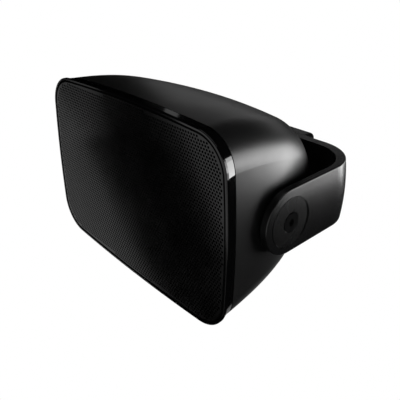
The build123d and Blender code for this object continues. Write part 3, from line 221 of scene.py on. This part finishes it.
def inset(section, distance):
    """The same section drawn in by a distance on all sides."""
    return section._replace(
        half_width=section.half_width - distance,
        half_height=section.half_height - distance,
        corner=section.corner - distance,
    )


def quarter_arcs(section):
    """The arcs of an outline's first quarter: half an end, a corner and half a long side."""
    wide, high, end_bow, long_bow, corner = section
    end_radius = (high**2 + end_bow**2) / (2 * end_bow)
    long_radius = (wide**2 + long_bow**2) / (2 * long_bow)
    end_centre = Vector((wide - end_radius, 0))
    long_centre = Vector((0, high - long_radius))
    # The corner's centre is this far from the centres of the two sides that it joins
    from_end = end_radius - corner
    from_long = long_radius - corner
    between = long_centre - end_centre
    along = (from_end**2 - from_long**2 + between.length**2) / (2 * between.length)
    across = math.sqrt(from_end**2 - along**2)
    unit = between.normalized()
    corner_centre = end_centre + unit * along + Vector((-unit.y, unit.x)) * across
    end_turn = math.atan2(corner_centre.y - end_centre.y, corner_centre.x - end_centre.x)
    long_turn = math.atan2(corner_centre.y - long_centre.y, corner_centre.x - long_centre.x)
    return (
        Arc(end_centre, end_radius, 0, end_turn),
        Arc(corner_centre, corner, end_turn, long_turn),
        Arc(long_centre, long_radius, long_turn, math.pi / 2),
    )


def outline(section):
    """Closed loop of points of four bowed sides and four corner arcs that are tangent to them."""
    quarter = []
    for arc, count in zip(quarter_arcs(section), (SIDE_POINTS, CORNER_POINTS, SIDE_POINTS)):
        for index in range(count):
            angle = arc.start + (arc.end - arc.start) * index / count
            quarter.append(arc.centre + Vector((math.cos(angle), math.sin(angle))) * arc.radius)
    top = Vector((0, section.half_height))
    half = quarter + [top] + [Vector((-p.x, p.y)) for p in reversed(quarter[1:])]
    return half + [-p for p in half]


def is_inside(arcs, x, z):
    """Whether a point lies inside the outline of those arcs."""
    point = Vector((abs(x), abs(z)))
    end, corner, long = arcs
    if (point - end.centre).length > end.radius or (point - long.centre).length > long.radius:
        return False
    out = point - corner.centre
    beside_corner = corner.start < math.atan2(out.y, out.x) < corner.end
    return not beside_corner or out.length <= corner.radius


def lattice_point(i, j):
    """Place on the face of a point of the lattice."""
    return Vector((i * HOLE_PITCH / 2, j * HOLE_PITCH / (2 * math.sqrt(3))))


def perforated_cells(section):
    """Middles of the hexagon cells that lie whole inside an outline, in staggered rows."""
    arcs = quarter_arcs(section)
    columns = math.ceil(2 * section.half_width / HOLE_PITCH)
    rows = math.ceil(2 * section.half_height / (math.sqrt(3) * HOLE_PITCH))
    return {
        (i, ROW_STEP * row)
        for row in range(-rows, rows + 1)
        for i in range(-columns, columns + 1)
        if (i + row) % 2 == 0
        and all(is_inside(arcs, *lattice_point(i + a, ROW_STEP * row + b)) for a, b in CELL_CORNERS)
    }


def open_sides(cells):
    """Cell sides with no other cell of the set beyond them, as pairs of corners in order."""
    return [
        ((i + a, j + b), (i + c, j + d))
        for i, j in sorted(cells)
        for (a, b), (c, d) in CELL_SIDES
        if (i + a + c, j + b + d) not in cells
    ]


def step_loop(cells):
    """Closed loop of points along the outer sides of the cells."""
    following = dict(open_sides(cells))
    steps = [min(following)]
    while following[steps[-1]] != steps[0]:
        steps.append(following[steps[-1]])
    return [lattice_point(*c) for c in steps]


class Shell:
    """Points and faces of a closed piece, placed on the face and in depth behind the lip."""

    def __init__(self):
        self.points = []
        self.faces = []

    def add(self, place, depth):
        """Number of a new point."""
        self.points.append((place[0], LIP_Y + depth, place[1]))
        return len(self.points) - 1

    def loop(self, places, depth):
        """Numbers of new points at one depth."""
        return [self.add(place, depth) for place in places]

    def join(self, first, second):
        """Quads between two closed loops of as many points."""
        for index in range(len(first)):
            after = (index + 1) % len(first)
            self.faces.append((first[index], second[index], second[after], first[after]))

    def finish(self, name, slot, *replaced):
        """Object that rides on the speaker."""
        mesh = bpy.data.meshes.new(name)
        mesh.from_pydata(self.points, [], self.faces)
        shape = bmesh.new()
        shape.from_mesh(mesh)
        bpy.data.meshes.remove(mesh)
        piece = add_piece(name, shape, slot, *replaced)
        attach(piece, "speaker")
        return piece


def add_piece(name, shape, slot, *replaced):
    """Object made from a bmesh, which takes the place of CAD nodes."""
    bmesh.ops.recalc_face_normals(shape, faces=shape.faces)
    mesh = bpy.data.meshes.new(name)
    shape.to_mesh(mesh)
    shape.free()
    mesh.shade_smooth()
    mesh.set_sharp_from_angle(angle=SHARP_ANGLE)
    mesh.materials.append(materials[slot])
    piece = bpy.data.objects.new(name, mesh)
    bpy.context.scene.collection.objects.link(piece)
    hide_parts(*replaced)
    return piece


def make_perforated_sheet(cells):
    """Flat sheet of hexagon cells with a hole through each, closed all round."""
    shell = Shell()
    front, back = GRILLE_FRONT, GRILLE_FRONT + SHEET
    corners = sorted({(i + a, j + b) for i, j in cells for a, b in CELL_CORNERS})
    front_of = {c: shell.add(lattice_point(*c), front) for c in corners}
    back_of = {c: shell.add(lattice_point(*c), back) for c in corners}
    for i, j in sorted(cells):
        cell = [(i + a, j + b) for a, b in CELL_CORNERS]
        hole = [lattice_point(i + HOLE_SHARE * a, j + HOLE_SHARE * b) for a, b in CELL_CORNERS]
        hole_front, hole_back = shell.loop(hole, front), shell.loop(hole, back)
        shell.join([front_of[c] for c in cell], hole_front)
        shell.join(hole_front, hole_back)
        shell.join(hole_back, [back_of[c] for c in cell])
    for start, end in open_sides(cells):
        shell.faces.append((front_of[start], front_of[end], back_of[end], back_of[start]))
    shell.finish("perforated_sheet", "grille_metal", "grille")


def make_grille_border(flat_edge, cells):
    """Plain border of the sheet between its perforated cells and its edge."""
    shell = Shell()
    stepped = step_loop(cells)
    count = len(stepped)
    places = stepped + flat_edge
    rings = [list(range(count)), list(range(count, len(places)))]
    cut = delaunay_2d_cdt(places, [], rings, INSIDE_OUTLINES, TOLERANCE)
    _, _, triangles, _, _, inside = cut
    # Each triangle comes with the rings that it lies in: the border is in the outer one alone
    outer_alone = [len(rings) - 1]
    front, back = shell.loop(places, GRILLE_FRONT), shell.loop(places, GRILLE_FRONT + SHEET)
    for triangle, within in zip(triangles, inside):
        if within == outer_alone:
            shell.faces += [[side[index] for index in triangle] for side in (front, back)]
    shell.join(front[:count], back[:count])
    shell.join(front[count:], back[count:])
    shell.finish("grille_border", "grille_metal", "grille")


def make_grille_rim(rim, flat_edge):
    """Rolled edge round the sheet and its skirt down to the seat, in painted shade as dark as the
    gap beside it.
    """
    shell = Shell()
    loops = [shell.loop(flat_edge, GRILLE_FRONT)]
    for step in range(EDGE_STEPS + 1):
        turn = math.pi / 2 * step / EDGE_STEPS
        drawn_in = EDGE_ROUND * (1 - math.sin(turn))
        depth = GRILLE_FRONT + EDGE_ROUND * (1 - math.cos(turn))
        loops.append(shell.loop(outline(inset(rim, drawn_in)), depth))
    loops.append(shell.loop(outline(rim), GRILLE_SEAT))
    loops.append(shell.loop(flat_edge, GRILLE_SEAT))
    for inner, outer in zip(loops, loops[1:] + loops[:1]):
        shell.join(inner, outer)
    # The cloth's near-black, dull finish on the rim is painted shade that stands in for the shaded
    # gap
    shell.finish("grille_rim", "grille_cloth", "grille")


def make_grille():
    """Perforated sheet, its plain border and the rim that holds them."""
    rim = inset(LIP, GRILLE_GAP)
    flat_edge = outline(inset(rim, RIM_EDGE))
    cells = perforated_cells(inset(rim, RIM_EDGE + PLAIN_EDGE))
    make_perforated_sheet(cells)
    make_grille_border(flat_edge, cells)
    make_grille_rim(rim, flat_edge)


def make_spring(colour, x):
    """Coil behind a terminal cap."""
    shell = Shell()
    rings = []
    count = SPRING_TURNS * COIL_STEPS
    for step in range(count + 1):
        turn = 2 * math.pi * step / COIL_STEPS
        middle_depth = SPRING_FRONT + SPRING_WIRE
        middle_depth += (SPRING_BACK - SPRING_FRONT - 2 * SPRING_WIRE) * step / count
        out = Vector((math.cos(turn), math.sin(turn)))
        ring = []
        for side in range(WIRE_SIDES):
            angle = 2 * math.pi * side / WIRE_SIDES
            place = Vector((x, 0)) + out * (SPRING_RADIUS + SPRING_WIRE * math.cos(angle))
            ring.append(shell.add(place, middle_depth + SPRING_WIRE * math.sin(angle)))
        rings.append(ring)
    for first, second in zip(rings, rings[1:]):
        shell.join(first, second)
    shell.faces += [rings[0], rings[-1]]
    spring = shell.finish(f"coil_spring_{colour}", "motor_steel", f"terminal_spring_{colour}")
    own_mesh(spring)


def cut_sector(shape, axis_point, turn, width):
    """Keeps the sector of a ring that lies round a turn, and closes its two cuts."""
    for side in (-1, 1):
        cut = turn + side * width / 2
        across = Vector((-math.sin(cut), 0, math.cos(cut))) * side
        every = shape.verts[:] + shape.edges[:] + shape.faces[:]
        bmesh.ops.bisect_plane(
            shape,
            geom=every,
            dist=TOLERANCE,
            plane_co=axis_point,
            plane_no=across,
            clear_outer=True,
        )
        bmesh.ops.holes_fill(shape, edges=shape.edges, sides=0)


def make_flexing_ring(node):
    """Sectors of a ring round the cone, cut from its CAD node and closed at the cuts."""
    low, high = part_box(node)
    axis_point = (Vector(low) + Vector(high)) / 2
    width = 2 * math.pi / FLEX_SECTORS
    for sector in range(FLEX_SECTORS):
        turn = sector * width
        shape = bmesh.new()
        shape.from_mesh(nodes[node].data)
        bmesh.ops.remove_doubles(shape, verts=shape.verts, dist=WELD)
        cut_sector(shape, axis_point, turn, width)
        piece = add_piece(f"{node}_{sector + 1}", shape, slots[node], node)
        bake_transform(piece)


def link(tree, source, target):
    """Joins two sockets."""
    tree.links.new(source, target)


def add_node(tree, kind, **values):
    """New shader node with some of its settings."""
    node = tree.nodes.new(kind)
    for name, value in values.items():
        setattr(node, name, value)
    return node


def add_noise(tree, place, scale, detail):
    """Socket of a noise at a place."""
    noise = add_node(tree, "ShaderNodeTexNoise")
    noise.inputs["Scale"].default_value = scale
    noise.inputs["Detail"].default_value = detail
    link(tree, place, noise.inputs["Vector"])
    return noise.outputs["Fac"]


def make_finish(name, finish):
    """Surface whose grain moves its colour and lifts a bump, and whose clouds vary its gloss."""
    material = bpy.data.materials.new(name)
    material.use_nodes = True
    tree = material.node_tree
    shader = tree.nodes["Principled BSDF"]
    shader.inputs["Metallic"].default_value = finish.metallic
    shader.inputs["Specular IOR Level"].default_value = finish.specular
    place = add_node(tree, "ShaderNodeTexCoord").outputs["Object"]
    grain = add_noise(tree, place, 1 / finish.grain, GRAIN_DETAIL)
    cloud = add_noise(tree, place, CLOUD_SCALE, CLOUD_DETAIL)
    tint = add_node(tree, "ShaderNodeValToRGB")
    for stop, factor in zip(tint.color_ramp.elements, GRAIN_TINTS):
        stop.color = (*[factor * c for c in finish.colour], 1)
    link(tree, grain, tint.inputs["Fac"])
    link(tree, tint.outputs["Color"], shader.inputs["Base Color"])
    gloss = add_node(tree, "ShaderNodeMapRange")
    gloss.inputs["From Min"].default_value, gloss.inputs["From Max"].default_value = CLOUD_RANGE
    gloss.inputs["To Min"].default_value = finish.roughness - finish.spread / 2
    gloss.inputs["To Max"].default_value = finish.roughness + finish.spread / 2
    link(tree, cloud, gloss.inputs["Value"])
    link(tree, gloss.outputs["Result"], shader.inputs["Roughness"])
    bump = add_node(tree, "ShaderNodeBump")
    bump.inputs["Strength"].default_value = 1.0
    bump.inputs["Distance"].default_value = finish.bump
    link(tree, grain, bump.inputs["Height"])
    link(tree, bump.outputs["Normal"], shader.inputs["Normal"])
    return material


def seen_directly(tree):
    """Socket: 1 for camera, glossy and transmission rays, and 0 for the rays that light things."""
    path = add_node(tree, "ShaderNodeLightPath")
    either = add_node(tree, "ShaderNodeMath", operation="MAXIMUM")
    link(tree, path.outputs["Is Camera Ray"], either.inputs[0])
    link(tree, path.outputs["Is Glossy Ray"], either.inputs[1])
    any_of_three = add_node(tree, "ShaderNodeMath", operation="MAXIMUM")
    link(tree, either.outputs[0], any_of_three.inputs[0])
    link(tree, path.outputs["Is Transmission Ray"], any_of_three.inputs[1])
    return any_of_three.outputs[0]


def show_white(tree, white, other, output):
    """Gives a tree its white shader where it is seen and the other one where it lights things."""
    mix = add_node(tree, "ShaderNodeMixShader")
    link(tree, seen_directly(tree), mix.inputs["Fac"])
    link(tree, other.outputs[0], mix.inputs[1])
    link(tree, white.outputs[0], mix.inputs[2])
    link(tree, mix.outputs[0], tree.nodes[output].inputs["Surface"])


def make_world():
    """White where it is seen, with a softer light on the object."""
    world = bpy.data.worlds.new("studio")
    bpy.context.scene.world = world
    world.use_nodes = True
    tree = world.node_tree
    ambient = tree.nodes["Background"]
    ambient.inputs["Color"].default_value = WHITE
    ambient.inputs["Strength"].default_value = AMBIENT
    white = add_node(tree, "ShaderNodeBackground")
    white.inputs["Color"].default_value = WHITE
    white.inputs["Strength"].default_value = 1.0
    show_white(tree, white, ambient, "World Output")


def stage_piece(name, shape, place, material):
    """Piece of the studio, made from a bmesh."""
    mesh = bpy.data.meshes.new(name)
    shape.to_mesh(mesh)
    shape.free()
    mesh.materials.append(material)
    piece = bpy.data.objects.new(name, mesh)
    piece.location = place
    bpy.context.scene.collection.objects.link(piece)
    return piece


def make_floor():
    """Pale floor under the wall that the speaker hangs on, white where it is seen."""
    material = bpy.data.materials.new("pale_floor")
    material.use_nodes = True
    tree = material.node_tree
    paint = tree.nodes["Principled BSDF"]
    paint.inputs["Base Color"].default_value = FLOOR_COLOUR
    paint.inputs["Roughness"].default_value = FLOOR_ROUGHNESS
    white = add_node(tree, "ShaderNodeEmission")
    white.inputs["Color"].default_value = WHITE
    show_white(tree, white, paint, "Material Output")
    shape = bmesh.new()
    bmesh.ops.create_grid(shape, x_segments=1, y_segments=1, size=FLOOR_SIZE / 2)
    stage_piece("floor", shape, (0, 0, -FLOOR_DROP), material)


def make_dark_tent():
    """Dark surround that only reflections see, as black products are photographed in."""
    material = bpy.data.materials.new("black_cloth")
    material.use_nodes = True
    shader = material.node_tree.nodes["Principled BSDF"]
    shader.inputs["Base Color"].default_value = BLACK
    shader.inputs["Specular IOR Level"].default_value = 0.0
    shape = bmesh.new()
    bmesh.ops.create_uvsphere(
        shape, u_segments=TENT_SEGMENTS, v_segments=TENT_RINGS, radius=TENT_RADIUS
    )
    tent = stage_piece("dark_tent", shape, middle, material)
    tent.visible_camera = False
    tent.visible_diffuse = False
    tent.visible_shadow = False
    tent.visible_transmission = False


def direction(azimuth, elevation):
    """Unit vector; azimuth is measured from +X towards +Y, in degrees."""
    turn, rise = math.radians(azimuth), math.radians(elevation)
    level = math.cos(rise)
    return Vector((math.cos(turn) * level, math.sin(turn) * level, math.sin(rise)))


def place_facing(thing, place, towards, roll):
    """Adds a lamp or camera at a place, which faces a direction and is rolled about it."""
    thing.location = place
    thing.rotation_mode = "QUATERNION"
    turn = towards.to_track_quat("-Z", "Y")
    thing.rotation_quaternion = turn @ Quaternion((0, 0, 1), roll)
    bpy.context.scene.collection.objects.link(thing)


def make_softbox(name, lamp):
    """Rectangular lamp that faces the object from a direction."""
    light = bpy.data.lights.new(name, "AREA")
    light.shape = "RECTANGLE"
    light.size = 2 * LAMP_DISTANCE * math.tan(math.radians(lamp.wide / 2))
    light.size_y = 2 * LAMP_DISTANCE * math.tan(math.radians(lamp.high / 2))
    light.energy = lamp.radiance * math.pi * light.size * light.size_y
    softbox = bpy.data.objects.new(name, light)
    softbox.visible_camera = False
    outward = direction(lamp.azimuth, lamp.elevation)
    place_facing(softbox, middle + outward * LAMP_DISTANCE, -outward, math.radians(lamp.roll))


def make_camera():
    """Camera that sees the object as the photograph does."""
    data = bpy.data.cameras.new("camera")
    data.sensor_width = SENSOR
    data.lens = FOCAL_PIXELS / IMAGE_SIZE * SENSOR
    data.shift_y = (AXIS_PIXEL_Y - IMAGE_SIZE / 2) / IMAGE_SIZE
    data.clip_start = CLIP_START
    camera = bpy.data.objects.new("camera", data)
    place_facing(camera, CAMERA_PLACE, CAMERA_DIRECTION, CAMERA_ROLL)
    bpy.context.scene.camera = camera


# The part: a finish on every CAD node, and the pieces that take the place of some
materials = {slot: make_finish(slot, finish) for slot, finish in FINISHES.items()}
for node, slot in slots.items():
    mesh = nodes[node].data
    mesh.materials.clear()
    mesh.materials.append(materials[slot])
make_grille()
for colour, x in SPRING_PLACES.items():
    make_spring(colour, x)
for node, (held, moved) in FLEX_RADII.items():
    make_flexing_ring(node)

# The studio and the camera
make_world()
make_floor()
make_dark_tent()
for name, lamp in LAMPS.items():
    make_softbox(name, lamp)
make_camera()
bpy.context.scene.view_settings.view_transform = "Standard"
